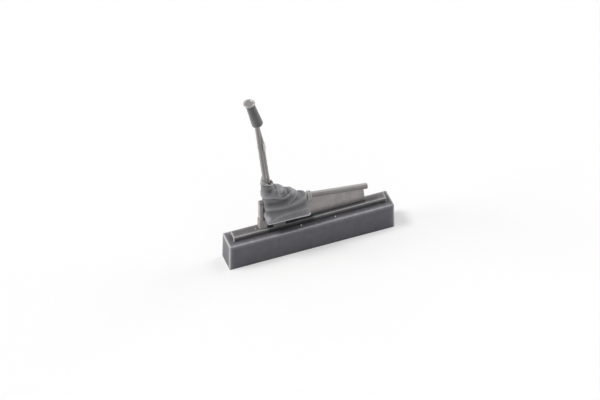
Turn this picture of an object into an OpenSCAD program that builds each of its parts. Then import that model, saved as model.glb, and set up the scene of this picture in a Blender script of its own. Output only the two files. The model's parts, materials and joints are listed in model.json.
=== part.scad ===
// Model control stick with a gathered boot and a torque tube, on its casting block.
// Millimetres. X runs along the block to the free end of the tube, Y goes away from the viewer, Z is up.
// The origin is the middle of the block's underside.

/* [Casting block] */
// Length of the block along its top edges
block_l = 22; // [18:0.1:30]
// Width of the block along its top edges
block_w = 2.72; // [2.2:0.02:4]
// Height of the block
block_h = 3.92; // [2:0.02:8]
// Extra length of the block's foot at each end
block_end_draft = 0.13; // [0.02:0.01:0.4]
// Extra width of the block's foot on each side
block_side_draft = 0.04; // [0.01:0.01:0.2]

/* [Rail] */
// Length of the rail on the block
rail_l = 20.4; // [17:0.1:21.8]
// Width of the rail
rail_w = 1.24; // [1:0.02:2]
// Height of the rail
rail_h = 0.78; // [0.4:0.02:1.5]
// Extra length and width of the rail's foot on each side
rail_draft = 0.03; // [0.01:0.01:0.1]

/* [Web and post] */
// Thickness of the web under the tube
web_t = 0.44; // [0.4:0.02:0.74]
// Right end of the web at its foot
web_right_x = 7.5; // [5:0.1:10]
// How far the right end of the web leans in towards its top
web_lean = 0.25; // [0:0.01:0.6]
// Height of the web inside the boot, above the rail
web_inside_h = 2.28; // [1.5:0.02:2.5]
// Depth of the saddle's lips below the tube's axis
saddle_drop = 0.28; // [0.2:0.01:0.34]
// Width of the bearing post along the block
post_w = 0.38; // [0.3:0.01:0.5]
// Thickness of the bearing post
post_t = 0.74; // [0.6:0.02:0.9]
// Step of the post's foot beyond the post
post_step = 0.1; // [0.02:0.01:0.3]
// Thickness of the post's foot
post_foot_t = 0.84; // [0.7:0.02:1.1]
// Height of the post's foot above the rail
post_foot_h = 1.38; // [0.8:0.02:1.5]
// How far the post's shoulders lie below the axis of its round head
post_drop = 0.2; // [0.05:0.01:0.24]
// Diameter of the post's round head
post_head_d = 0.56; // [0.52:0.02:0.9]
// Wall of the bush in the post's head
post_bush_wall = 0.06; // [0.04:0.01:0.1]
// Middle of the gate stubs under the boot
gate_x = -4.1; // [-4.6:0.05:-1.5]
// Length of the gate stubs
gate_l = 1.65; // [0.6:0.05:2]

/* [Tube] */
// Outer diameter of the tube
tube_d = 0.76; // [0.74:0.01:0.9]
// Bore of the tube
tube_bore = 0.36; // [0.2:0.01:0.5]
// Slope of the tube, down towards its free end, in degrees
tube_slope = 7.55; // [4:0.05:10]
// Length of the tube beyond the web's foot
tube_overhang = 0.25; // [0.1:0.01:1]
// Length of the plug in the tube's free end
plug_l = 0.6; // [0.3:0.05:2]
// Depth of the plug's face inside the tube's end
plug_inset = 0.05; // [0.01:0.01:0.2]

/* [Rings] */
// Place of the rings' left face
ring_x = -0.3; // [-1:0.05:1]
// Outer diameter of the rings
ring_d = 1.1; // [0.9:0.02:1.3]
// Width of each ring along the tube
ring_w = 0.21; // [0.12:0.01:0.3]
// Gap between the two rings
ring_gap = 0.05; // [0.02:0.01:0.2]

/* [Pivot] */
// Place of the stick's pivot along the block
pivot_x = -5.4; // [-6:0.02:-5]
// Height of the pivot above the rail
pivot_h = 4.09; // [4:0.01:4.4]
// Outer diameter of the yoke's ring
yoke_d = 0.84; // [0.8:0.01:0.9]
// Wall of the yoke's ring
yoke_wall = 0.13; // [0.1:0.01:0.15]
// Height of the yoke's ring
yoke_h = 0.44; // [0.36:0.01:0.6]
// Gap between the yoke's ring and the tube's end
yoke_gap = 0.13; // [0.05:0.01:0.3]
// Length of the yoke's spigot inside the tube
yoke_spigot = 0.5; // [0.3:0.05:1.5]
// Diameter of the journal in front of the yoke
journal_d = 0.26; // [0.2:0.01:0.32]
// Diameter of the pivot pin
pin_d = 0.18; // [0.14:0.01:0.2]
// How far the pin stands out of the yoke on each side
pin_proud = 0.04; // [0.01:0.01:0.06]
// Wall of the bush on the pin
bush_wall = 0.03; // [0.02:0.005:0.04]
// Wall of the stick's eye around its bush
eye_wall = 0.085; // [0.06:0.005:0.09]
// Width of the stick's eye
eye_w = 0.32; // [0.24:0.01:0.34]
// Running clearance of turning pieces, on the radius
run_gap = 0.015; // [0.011:0.001:0.04]

/* [Stick] */
// Lean of the stick to the left, in degrees
stick_lean = 6; // [3:0.1:7]
// Diameter of the shaft at its lower end
shaft_foot_d = 0.58; // [0.5:0.01:0.64]
// Diameter of the shaft under the grip
shaft_top_d = 0.5; // [0.4:0.01:0.56]
// Height along the stick at which the shaft starts
shaft_start = 0.75; // [0.65:0.01:0.9]
// Diameter of the foot's spigot inside the shaft
spigot_d = 0.28; // [0.2:0.01:0.3]
// Length of the spigot inside the shaft
spigot_l = 0.8; // [0.4:0.05:1.5]
// Thickness of the foot's shoulder under the shaft
shoulder_t = 0.15; // [0.1:0.01:0.2]

/* [Grip] */
// Height along the stick of the grip's lower end
grip_start = 13.4; // [12:0.05:15]
// Lean of the grip beyond the stick's own, in degrees
grip_lean = 9.2; // [0:0.1:14]
// How far the grip's lower end stands off the stick's axis, towards the tube
grip_shift = 0.17; // [0:0.01:0.2]
// Length of the grip
grip_l = 3.7; // [3:0.05:5]
// Largest diameter of the grip, near its lower end
grip_low_d = 1.44; // [1.2:0.02:1.8]
// Diameter of the grip under its cap
grip_top_d = 1.1; // [1:0.02:1.4]
// Radius of the grip's rounded lower edge
grip_round = 0.26; // [0.1:0.01:0.4]
// Depth of the shaft in the grip
grip_socket = 0.7; // [0.3:0.05:1.5]
// Diameter of the cap
cap_d = 1.46; // [1.42:0.02:2]
// How much less the cap leans than the grip, in degrees
cap_tilt = 11; // [0:1:14]
// How far the cap's middle stands off the grip's axis, to the left
cap_shift = 0.08; // [0:0.01:0.1]
// Height of the cap
cap_h = 0.27; // [0.2:0.01:0.4]
// Width of the cap's raised rim
cap_rim = 0.11; // [0.06:0.01:0.2]
// Depth of the cap's dish
cap_dish = 0.1; // [0.04:0.01:0.12]
// Distance of the cap's screws from its middle
screw_r = 0.57; // [0.4:0.01:0.59]
// Diameter of the screws' heads
screw_d = 0.18; // [0.12:0.01:0.2]

/* [Lead] */
// Diameter of the lead on the stick
lead_d = 0.3; // [0.16:0.01:0.31]
// Gap between the lead and the shaft
lead_gap = 0.02; // [0.02:0.005:0.04]
// Height along the stick of the lead's lower end, inside the boot
lead_end = 1.6; // [1.4:0.05:2.4]
// Height along the stick of the connector's lower end
connector_s = 9.25; // [6:0.05:10]
// Length of the connector
connector_l = 0.85; // [0.5:0.05:1.2]
// Diameter of the connector
connector_d = 0.34; // [0.3:0.01:0.42]
// Diameter of the nut under the connector
nut_d = 0.32; // [0.28:0.01:0.42]
// Length of the nut
nut_l = 0.36; // [0.2:0.01:0.6]
// Width of the band that holds the connector
band_w = 0.24; // [0.15:0.01:0.4]
// Thickness of the band
band_t = 0.03; // [0.03:0.005:0.08]

/* [Boot] */
// Width of the boot's hem, across the block
hem_w = 3.32; // [3:0.02:4]
// How far the hem flares out past the boot on each side
hem_flare = 0.6; // [0.4:0.02:0.64]
// Height of the hem above the rail
hem_h = 1.63; // [1.57:0.02:1.75]
// Distance of the hem's front end ahead of the pivot
hem_front = 0.58; // [0.55:0.01:0.6]
// How far the hem's rear end stands out past the sleeve
hem_rear = 0.4; // [0.2:0.02:0.5]
// Width of the boot at its waist, across the block
boot_w = 2.28; // [2.2:0.02:2.4]
// Depth of the boot's folds
fold_depth = 0.1; // [0.08:0.01:0.12]
// Wall of the boot and its hem
boot_wall = 0.12; // [0.08:0.01:0.13]
// Gap between the boot and what passes through it
boot_gap = 0.03; // [0.02:0.005:0.06]
// How far the sleeve's end stands clear of the rings
sleeve_gap = 0.26; // [0.2:0.01:0.4]
// Height of the sleeve's top above the tube
sleeve_h = 0.2; // [0.12:0.01:0.3]
// Length of the sleeve on the tube
sleeve_l = 1; // [0.8:0.05:2]
// Length of the neck cuff, along the block
cuff_l = 1.44; // [1.42:0.02:1.6]
// Width of the neck cuff, across the block
cuff_w = 1.1; // [1.1:0.02:1.3]
// Thickness of the cuff's rolled edge
cuff_roll = 0.22; // [0.16:0.01:0.22]
// Height along the stick of the cuff's middle
cuff_s = 3.12; // [3:0.02:3.5]
// Slant of the cuff, down to the right, in degrees
cuff_slant = 21; // [15:1:25]

/* [Hidden] */
$fn = 48;

// Side-to-side swing that the pieces under the tube leave room for, in degrees
roll_room = 14;
// Overrun of cutting shapes past the faces they cut
over = 0.2;
// Clearance between a swinging piece and a fixed one
swing_gap = 0.05;
// Gap between the post and the boot's front wall
post_gap = 0.22;
// Gap between the web's front end and the hem's front wall
web_gap = 0.16;
// How far the post's round head stands out past the post on each side
head_lip = 0.02;
// Height of the gate stubs past the hem's lower edge
gate_rise = 0.15;

// Heights and places worked out from the driving sizes
deck = block_h + rail_h;
pivot_z = deck + pivot_h;
hem_z = deck + hem_h;
hem_left_x = pivot_x - hem_front;
sleeve_x = ring_x - sleeve_gap;
hem_right_x = sleeve_x + hem_rear;
web_left_x = hem_left_x + boot_wall + web_gap;
post_right_x = hem_left_x - post_gap;
post_left_x = post_right_x - post_w;
rings_end_x = ring_x + 2 * ring_w + ring_gap;
tube_end_x = web_right_x + tube_overhang;

// Height of the tube's axis at a place along the block
function tube_z(x) = pivot_z - (x - pivot_x) * tan(tube_slope);
// Distance along the tube's axis from the pivot to a place along the block
function along_tube(x) = (x - pivot_x) / cos(tube_slope);
// Ends of the post's head along the tube's axis
head_from = along_tube(post_left_x) - head_lip;
head_to = along_tube(post_right_x) + head_lip;
// Place of a point of the stick, beside its axis by t and along it by s, in the XZ plane
function stick_point(t, s) = [
    pivot_x + t * cos(stick_lean) - s * sin(stick_lean),
    pivot_z + t * sin(stick_lean) + s * cos(stick_lean)
];
// Radius of the shaft at a height along the stick, and distance of the lead's middle from its axis
function shaft_r(s) =
    let (share = (s - shaft_start) / (grip_start - shaft_start))
    (shaft_foot_d + (shaft_top_d - shaft_foot_d) * share) / 2;
function lead_t(s) = shaft_r(s) + lead_d / 2 + lead_gap;
function mix(a, b, share) = a + (b - a) * share;

// Sizes of the pivot
bush_r = pin_d / 2 + run_gap + bush_wall;
eye_r = bush_r + eye_wall;
yoke_r = yoke_d / 2;
yoke_in_r = yoke_r - yoke_wall;
tube_start = yoke_r + yoke_gap;
tube_r = tube_d / 2;
post_bush_r = journal_d / 2 + run_gap + post_bush_wall;

// Waves of the neck cuff's rolled edge, and its notch, flap and tongue: height, place and spread in degrees
cuff_points = 40;
cuff_waves = 5;
cuff_wave = 0.04;
CUFF_LOBES = [[-0.1, 280, 16], [0.3, 35, 38], [0.8, 180, 45]];

// Sizes of the grip's cap
cap_foot_h = 0.15;
cap_edge = 0.04;
screw_angles = [40, -42, -152];
screw_shank = 0.06;

// The lead's line beside the shaft
lead_r = lead_d / 2;
connector_t = shaft_r(connector_s + connector_l / 2) + band_t + connector_d / 2;
// Straight stretch of the lead at each fitting
lead_straight = 0.2;
// Turn of the lead round the shaft on its way up to the grip, in degrees
gland_turn = 50;
// Depth of the lead's hole in the grip
gland_l = 0.25;

// Frames of the tube, the stick, the grip and its cap
module on_tube(x = 0) {
    translate([pivot_x, 0, pivot_z])
        rotate([0, tube_slope, 0])
            translate([x, 0, 0])
                children();
}

module on_stick(s = 0) {
    translate([pivot_x, 0, pivot_z])
        rotate([0, -stick_lean, 0])
            translate([0, 0, s])
                children();
}

module on_grip(h = 0) {
    on_stick(grip_start)
        translate([grip_shift, 0, 0])
            rotate([0, -grip_lean, 0])
                translate([0, 0, h])
                    children();
}

module on_cap() {
    on_grip(grip_l)
        translate([-cap_shift, 0, 0])
            rotate([0, cap_tilt, 0])
                children();
}

module in_cuff() {
    on_stick(cuff_s)
        translate([cuff_mid_t, 0, 0])
            rotate([0, cuff_slant, 0])
                children();
}

// Round bar along the tube's axis, from one distance to another
module tube_bar(from, to, r) {
    on_tube(from)
        rotate([0, 90, 0])
            cylinder(r = r, h = to - from);
}

// Round bar across the pivot
module cross_bar(r, w) {
    rotate([90, 0, 0])
        cylinder(r = r, h = w, center = true);
}

// Block with sloping sides, larger at its foot
module drafted_block(l, w, h, end_draft, side_draft) {
    big = l + w + h;
    intersection() {
        rotate([90, 0, 0])
            linear_extrude(big, center = true)
                polygon([
                    [-l / 2 - end_draft, 0], [l / 2 + end_draft, 0], [l / 2, h], [-l / 2, h]
                ]);
        rotate([90, 0, 90])
            linear_extrude(2 * big, center = true)
                polygon([
                    [-w / 2 - side_draft, 0], [w / 2 + side_draft, 0], [w / 2, h], [-w / 2, h]
                ]);
    }
}

// Plate of the XZ plane, with the given outline
module upright_plate(t, outline) {
    rotate([90, 0, 0])
        linear_extrude(t, center = true)
            polygon(outline);
}

// Folds of the boot, from its hem up to its neck.
// Each ring runs from a point on the front wall to a point on the rear wall and the ridge.
// Columns: share of the front wall's height, bulge there, station on the rear path, bulge there,
// half width, squareness of the ring's corners, share of its width lost in the crease behind the neck.
HEM = [
    [0.00, 0.00, 0.00, 0.00, hem_w / 2, 9, 0],
    [0.05, 0.00, 0.11, 0.00, hem_w / 2 - 0.4 * hem_flare, 8, 0],
    [0.11, 0.00, 0.26, 0.00, hem_w / 2 - hem_flare, 7, 0]
];
HEM_LINING = [for (f = HEM) f - boot_wall * [0, 1, 0, 1, 1, 0, 0]];

// Rings of the boot's outside, with bulges in fold depths and the width as a share of the boot's
function fold(front, out, rear, lift, width, square, pinch = 0) =
    [front, out * fold_depth, rear, lift * fold_depth, width * boot_w / 2, square, pinch];
FOLDS = [
    HEM[2],
    fold(0.21, -0.3, 0.50, 0.2, 0.88, 5),
    fold(0.33, 0.3, 0.79, 0.7, 1.00, 3.6),
    fold(0.40, 0.0, 1.00, 0.0, 0.83, 3),
    fold(0.48, -0.4, 1.11, -2.4, 0.76, 2.8),
    fold(0.55, -0.6, 1.24, -2.2, 0.76, 2.6),
    fold(0.59, -0.6, 1.41, 1.4, 0.78, 2.5),
    fold(0.62, -0.5, 1.51, -4.0, 0.72, 2.4),
    fold(0.68, 0.3, 1.60, -1.2, 0.90, 2.3),
    fold(0.76, 0.0, 1.72, 1.6, 0.77, 2.2, 0.10),
    fold(0.83, -0.2, 1.87, 1.4, 0.65, 2.1, 0.20),
    fold(0.91, -0.3, 2.00, 0.0, 0.56, 2.0, 0.10),
    fold(1.00, 0.0, 3.00, 0.0, 0.52, 2.0)
];

// Rings of the boot's lining, which lie a wall or more inside the folds
function lining(front, rear, lift, width, square) =
    [front, -1.3 * boot_wall, rear, lift * fold_depth, width * boot_w / 2 - boot_wall, square, 0];
LINING = [
    HEM_LINING[2],
    lining(0.33, 0.70, -1.2, 0.89, 2.9),
    lining(0.44, 1.00, -3.0, 0.74, 2.8),
    lining(0.59, 1.50, -6.0, 0.70, 2.6),
    lining(0.82, 2.00, -2.0, 0.58, 2.2),
    lining(1.00, 3.00, -1.2, 0.52, 2.0)
];
ring_points = 38;

// Front wall, and rear wall with the ridge up to the neck, as points of the XZ plane
cuff_foot = cuff_roll / 2 + 2 * boot_gap;
cuff_mid_t = lead_t(cuff_s) / 3;
// Place of the neck's root behind the stick, from the neck's own rear edge
neck_flare = [0.2, -0.42];
neck_left = stick_point(
    cuff_mid_t - cuff_l / 2 * cos(cuff_slant) - cuff_foot * sin(cuff_slant),
    cuff_s + cuff_l / 2 * sin(cuff_slant) - cuff_foot * cos(cuff_slant)
);
neck_right = stick_point(
    cuff_mid_t + cuff_l / 2 * cos(cuff_slant) - cuff_foot * sin(cuff_slant),
    cuff_s - cuff_l / 2 * sin(cuff_slant) - cuff_foot * cos(cuff_slant)
);
neck_root = neck_right + neck_flare;
// Place of the crease behind the neck, and its half width
crease_x = neck_right[0] + 2 * neck_flare[0];
crease_w = 0.2;
FRONT_PATH = [[hem_left_x, hem_z], neck_left];
REAR_PATH = [
    [hem_right_x, hem_z],
    [sleeve_x, tube_z(sleeve_x) + tube_r + sleeve_h],
    neck_root,
    neck_right
];

// Point of a path at a station, moved out from it by a bulge
function path_point(path, station, bulge, side) =
    let (
        i = min(floor(station), len(path) - 2),
        step = path[i + 1] - path[i],
        out = side * [step[1], -step[0]] / norm(step)
    )
    path[i] + step * (station - i) + out * bulge;

// Ring of a fold: its points follow a rounded oblong in the plane that its two ends set
function fold_ring(fold) =
    let (
        front = path_point(FRONT_PATH, fold[0], fold[1], -1),
        rear = path_point(REAR_PATH, fold[2], fold[3], 1),
        middle = (front + rear) / 2,
        half = (rear - front) / 2,
        power = fold[5]
    )
    [
        for (i = [0 : ring_points - 1])
            let (
                u = 360 * (i + 0.5) / ring_points,
                reach = pow(pow(abs(cos(u)), power) + pow(abs(sin(u)), power), -1 / power),
                along = middle + half * reach * cos(u),
                pinch = fold[6] * exp(-pow((along[0] - crease_x) / crease_w, 2))
            )
            [along[0], fold[4] * (1 - pinch) * reach * sin(u), along[1]]
    ];

// Folds with one more ring between each two, on a smooth curve through them
function smooth_folds(folds) =
    let (last = len(folds) - 1)
    [
        for (i = [0 : last])
            each i == last
                ? [folds[i]]
                : [
                    folds[i],
                    (9 * (folds[i] + folds[i + 1])
                        - folds[max(i - 1, 0)] - folds[min(i + 2, last)]) / 16
                ]
    ];

// Closed skin over rings that follow one another round a loop or along a tube
module skin(rings, closed) {
    n = len(rings[0]);
    last = len(rings) - 1;
    side = [
        for (r = [0 : closed ? last : last - 1])
            for (i = [0 : n - 1])
                let (
                    next = r == last ? 0 : r + 1,
                    j = (i + 1) % n,
                    a = r * n + i,
                    b = r * n + j,
                    c = next * n + j,
                    d = next * n + i
                )
                each [[a, b, c], [a, c, d]]
    ];
    ends = closed
        ? []
        : [[for (i = [n - 1 : -1 : 0]) i], [for (i = [0 : n - 1]) last * n + i]];
    polyhedron([for (r = rings) each r], concat(side, ends), convexity = 8);
}

function reversed(list) = [for (i = [len(list) - 1 : -1 : 0]) list[i]];

// Slit in the boot's rear wall that leaves the web free as the boot swings
module web_slit() {
    depth = tube_z(sleeve_x) - hem_z + over;
    top_w = web_t / 2 + swing_gap;
    foot_w = top_w + depth * tan(roll_room);
    translate([sleeve_x, 0, tube_z(sleeve_x)])
        rotate([90, 0, 90])
            linear_extrude(2 * (hem_rear + over), center = true)
                polygon([[-top_w, 0], [top_w, 0], [foot_w, -depth], [-foot_w, -depth]]);
}

// Tube of a lead through points of the stick's own frame
function lead_rings(points) =
    let (last = len(points) - 1)
    [
        for (i = [0 : last])
            let (
                ahead = points[min(i + 1, last)] - points[max(i - 1, 0)],
                w = ahead / norm(ahead),
                u = cross([0, 1, 0], w) / norm(cross([0, 1, 0], w)),
                v = cross(w, u)
            )
            [for (k = [0 : 7]) points[i] + lead_r * (u * cos(45 * k) + v * sin(45 * k))]
    ];

// Fixed pieces

module casting_block() {
    color("dimgray")
        drafted_block(block_l, block_w, block_h, block_end_draft, block_side_draft);
}

module pour_rail() {
    color("gray")
        translate([0, 0, block_h])
            drafted_block(rail_l, rail_w, rail_h, rail_draft, rail_draft);
}

module support_web() {
    top = saddle_drop / cos(tube_slope);
    right_top_x = web_right_x - web_lean;
    step_x = ring_x - swing_gap;
    color("darkgray")
        difference() {
            upright_plate(web_t, [
                [web_left_x, deck],
                [web_right_x, deck],
                [right_top_x, tube_z(right_top_x) - top],
                [step_x, tube_z(step_x) - top],
                [step_x, deck + web_inside_h],
                [web_left_x, deck + web_inside_h]
            ]);
            tube_bar(along_tube(step_x) - over, along_tube(tube_end_x), tube_r + run_gap);
            tube_bar(
                along_tube(step_x) - over,
                along_tube(rings_end_x) + swing_gap,
                ring_d / 2 + swing_gap
            );
        }
}

module bearing_post() {
    color("darkgray")
        difference() {
            union() {
                upright_plate(post_foot_t, [
                    [post_left_x - post_step, deck],
                    [web_left_x, deck],
                    [web_left_x, deck + post_foot_h],
                    [post_left_x - post_step, deck + post_foot_h]
                ]);
                upright_plate(post_t, [
                    [post_left_x, deck],
                    [post_right_x, deck],
                    [post_right_x, tube_z(post_right_x) - post_drop],
                    [post_left_x, tube_z(post_left_x) - post_drop]
                ]);
                tube_bar(head_from, head_to, post_head_d / 2);
            }
            tube_bar(head_from - over, head_to + over, post_bush_r);
        }
}

module post_bush() {
    color("silver")
        difference() {
            tube_bar(head_from, head_to, post_bush_r);
            tube_bar(head_from - over, head_to + over, journal_d / 2 + run_gap);
        }
}

module hem_gates() {
    gate_w = (rail_w - web_t) / 2;
    color("gray")
        for (side = [-1, 1])
            translate([gate_x - gate_l / 2, side * (web_t + gate_w) / 2 - gate_w / 2, deck])
                cube([gate_l, gate_w, hem_h + gate_rise]);
}

// Pieces that turn with the tube

module torque_tube() {
    end = along_tube(tube_end_x);
    color("darkgray")
        difference() {
            tube_bar(tube_start, end, tube_r);
            tube_bar(tube_start - over, end + over, tube_bore / 2);
        }
}

module tube_plug() {
    face = along_tube(tube_end_x) - plug_inset;
    color("gray")
        tube_bar(face - plug_l, face, tube_bore / 2);
}

// Ring with a rounded back, clamped round the tube
module clamp_ring(from) {
    round_r = ring_w / 2;
    color("silver")
        on_tube(from + round_r)
            rotate([0, 90, 0])
                rotate_extrude()
                    difference() {
                        union() {
                            translate([ring_d / 2 - round_r, 0])
                                circle(r = round_r);
                            translate([tube_r, -round_r])
                                square([ring_d / 2 - round_r - tube_r, ring_w]);
                        }
                        translate([0, -ring_w])
                            square([tube_r, 2 * ring_w]);
                    }
}

module boot_ring_front() {
    clamp_ring(along_tube(ring_x));
}

module boot_ring_rear() {
    clamp_ring(along_tube(ring_x) + ring_w + ring_gap);
}

module pivot_yoke() {
    spigot_end = tube_start + yoke_spigot;
    color("silver")
        difference() {
            union() {
                on_tube()
                    cylinder(r = yoke_r, h = yoke_h, center = true);
                tube_bar(yoke_in_r, spigot_end, tube_bore / 2);
                tube_bar(head_from, -yoke_in_r, journal_d / 2);
            }
            on_tube()
                cylinder(r = yoke_in_r, h = 2 * yoke_h, center = true);
            on_tube()
                cross_bar(pin_d / 2, 2 * yoke_d);
        }
}

module pivot_pin() {
    color("silver")
        on_tube()
            cross_bar(pin_d / 2, yoke_d + 2 * pin_proud);
}

module boot() {
    color("gray")
        difference() {
            skin(concat(
                [for (f = smooth_folds(FOLDS)) fold_ring(f)],
                [for (f = reversed(LINING)) fold_ring(f)]
            ), true);
            tube_bar(along_tube(sleeve_x) - sleeve_l, along_tube(ring_x), tube_r + boot_gap);
            tube_bar(head_to, -yoke_r, journal_d / 2 + boot_gap);
            web_slit();
        }
}

module boot_hem() {
    color("lightslategray")
        difference() {
            skin(concat(
                [for (f = HEM) fold_ring(f)],
                [for (f = reversed(HEM_LINING)) fold_ring(f)]
            ), true);
            web_slit();
        }
}

// Pieces that swing with the stick

module pivot_bush() {
    color("gold")
        on_stick()
            difference() {
                cross_bar(bush_r, eye_w);
                cross_bar(pin_d / 2 + run_gap, 2 * eye_w);
            }
}

module stick_foot() {
    color("silver")
        on_stick()
            difference() {
                union() {
                    cross_bar(eye_r, eye_w);
                    cylinder(d = spigot_d, h = shaft_start + spigot_l);
                    translate([0, 0, shaft_start - shoulder_t])
                        cylinder(d = shaft_foot_d, h = shoulder_t);
                }
                cross_bar(bush_r, 2 * eye_w);
            }
}

module stick_shaft() {
    color("gray")
        on_stick(shaft_start)
            difference() {
                union() {
                    cylinder(d1 = shaft_foot_d, d2 = shaft_top_d, h = grip_start - shaft_start);
                    translate([0, 0, grip_start - shaft_start])
                        cylinder(d = shaft_top_d, h = grip_socket);
                }
                translate([0, 0, -over])
                    cylinder(d = spigot_d, h = spigot_l + over);
            }
}

// Rolled edge of the boot's neck, gathered in waves: a notch towards the viewer, a flap behind the lead
// and a tongue up the left side of the shaft. A flange inside the roll closes in on the shaft and the lead.
module neck_cuff() {
    roll = cuff_roll / 2;
    hole_l = 2 * boot_gap + (shaft_foot_d / 2 + lead_t(cuff_s) + lead_r) / cos(cuff_slant);
    hole_w = shaft_foot_d + 4 * boot_gap;
    stick_up = [-sin(cuff_slant), 0, cos(cuff_slant)];
    function apart(u, place) = (u - place + 540) % 360 - 180;
    function rise(u) =
        let (lobes = [for (lobe = CUFF_LOBES) lobe[0] * exp(-pow(apart(u, lobe[1]) / lobe[2], 2))])
        cuff_wave * cos(cuff_waves * u) + lobes * [for (lobe = CUFF_LOBES) 1];
    function rim_point(u, out, up) =
        [(cuff_l / 2 - roll + out) * cos(u), (cuff_w / 2 - roll + out) * sin(u), up]
        + stick_up * rise(u) * max(0, up) / roll;
    function hole_point(u, up) = [hole_l / 2 * cos(u), hole_w / 2 * sin(u), up];
    function section(u) = concat(
        [for (a = [-150 : 50 : 150]) rim_point(u, roll * cos(a), roll * sin(a))],
        [hole_point(u, roll / 4), hole_point(u, -roll / 4)]
    );
    color("gray")
        in_cuff()
            skin([for (i = [0 : cuff_points - 1]) section(360 * i / cuff_points)], true);
}

// Points of the lead in the stick's frame: beside it towards the tube, across, and along it
nut_s = connector_s - nut_l;
bend_s = nut_s - 4 * lead_straight;
lower_lead = [
    [connector_t, 0, nut_s],
    [connector_t, 0, nut_s - lead_straight],
    [lead_t(bend_s), 0, bend_s],
    [lead_t(lead_end), 0, lead_end]
];

// The lead winds round the shaft from the connector to the underside of the grip, fast at first
upper_from = connector_s + connector_l;
function wound(share) =
    let (
        turn = gland_turn * share * (2 - share),
        s = mix(upper_from + lead_straight / 4, grip_start - lead_straight, share),
        r = mix(lead_t(s), connector_t, max(0, 1 - 4 * share))
    )
    [r * cos(turn), r * sin(turn), s];
upper_lead = concat(
    [[connector_t, 0, upper_from]],
    [for (share = [0 : 0.1 : 1]) wound(share)],
    [wound(1) + [0, 0, lead_straight + gland_l / 2]]
);

module cable_lower() {
    color("dimgray")
        on_stick()
            skin(lead_rings(lower_lead), false);
}

module cable_upper() {
    color("dimgray")
        on_stick()
            skin(lead_rings(upper_lead), false);
}

module connector_nut() {
    color("silver")
        on_stick(connector_s - nut_l)
            translate([connector_t, 0, 0])
                cylinder(d = nut_d, h = nut_l, $fn = 6);
}

module cable_connector() {
    color("gray")
        on_stick(connector_s)
            translate([connector_t, 0, 0])
                cylinder(d = connector_d, h = connector_l);
}

// Band round the shaft, with a lug that the connector lies in
module connector_band() {
    middle = connector_s + connector_l / 2;
    color("silver")
        on_stick(middle - band_w / 2)
            difference() {
                union() {
                    cylinder(r = shaft_r(middle) + band_t, h = band_w);
                    translate([0, -connector_d / 3, 0])
                        cube([connector_t, 2 * connector_d / 3, band_w]);
                }
                translate([0, 0, -band_w])
                    cylinder(
                        r1 = shaft_r(middle - 1.5 * band_w),
                        r2 = shaft_r(middle + 1.5 * band_w),
                        h = 3 * band_w
                    );
                translate([connector_t, 0, -over])
                    cylinder(d = connector_d, h = band_w + 2 * over);
            }
}

// Outline of the grip, turned round its axis: a rounded lower edge, then a taper that the cap's plane ends
module grip() {
    low_r = grip_low_d / 2;
    arc = [
        for (a = [-90 : 15 : 0])
            [low_r - grip_round + grip_round * cos(a), grip_round + grip_round * sin(a)]
    ];
    top_r = grip_top_d / 2;
    top_h = grip_l + over;
    color("dimgray")
        difference() {
            on_grip()
                rotate_extrude()
                    polygon(concat([[0, 0]], arc, [[top_r, grip_l], [top_r, top_h], [0, top_h]]));
            on_cap()
                translate([0, 0, cap_d / 2])
                    cube([2 * cap_d, 2 * cap_d, cap_d], center = true);
            on_stick(grip_start - over)
                cylinder(d = shaft_top_d, h = grip_socket + over);
            on_stick(grip_start - over)
                rotate([0, 0, gland_turn])
                    translate([lead_t(grip_start), 0, 0])
                        cylinder(r = lead_r + lead_gap / 2, h = gland_l + over);
        }
}

// Dished disc with a raised rim and seats for its screws
module grip_cap() {
    r = cap_d / 2;
    floor_h = cap_h - cap_dish;
    color("gray")
        on_cap()
            difference() {
                rotate_extrude()
                    polygon([
                        [0, 0], [grip_top_d / 2, 0], [r, cap_foot_h], [r, cap_h - cap_edge],
                        [r - cap_edge, cap_h], [r - cap_rim, cap_h], [r - 2 * cap_rim, floor_h],
                        [0, floor_h]
                    ]);
                at_screws() {
                    translate([0, 0, floor_h])
                        cylinder(d = screw_d, h = cap_h);
                    translate([0, 0, floor_h - screw_shank])
                        cylinder(d = screw_d / 2, h = cap_h);
                }
            }
}

module at_screws() {
    for (a = screw_angles)
        rotate([0, 0, a])
            translate([screw_r, 0, 0])
                children();
}

module cap_screws() {
    floor_h = cap_h - cap_dish;
    color("silver")
        on_cap()
            at_screws() {
                translate([0, 0, floor_h - screw_shank])
                    cylinder(d = screw_d / 2, h = screw_shank);
                translate([0, 0, floor_h])
                    intersection() {
                        sphere(d = screw_d);
                        cylinder(d = screw_d, h = screw_d);
                    }
            }
}

casting_block();
pour_rail();
support_web();
bearing_post();
post_bush();
hem_gates();
torque_tube();
tube_plug();
boot_ring_front();
boot_ring_rear();
pivot_yoke();
pivot_pin();
boot();
boot_hem();
pivot_bush();
stick_foot();
stick_shaft();
neck_cuff();
cable_lower();
connector_nut();
cable_connector();
connector_band();
cable_upper();
grip();
grip_cap();
cap_screws();
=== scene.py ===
# Looks of a model control stick with a gathered boot and a torque tube, on its casting block.
# Sizes are written in millimetres and multiplied by MM; X runs along the block, Z is up.
import json
import math

import bpy
import numpy as np
from mathutils import Matrix, Vector
from mathutils.kdtree import KDTree


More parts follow.
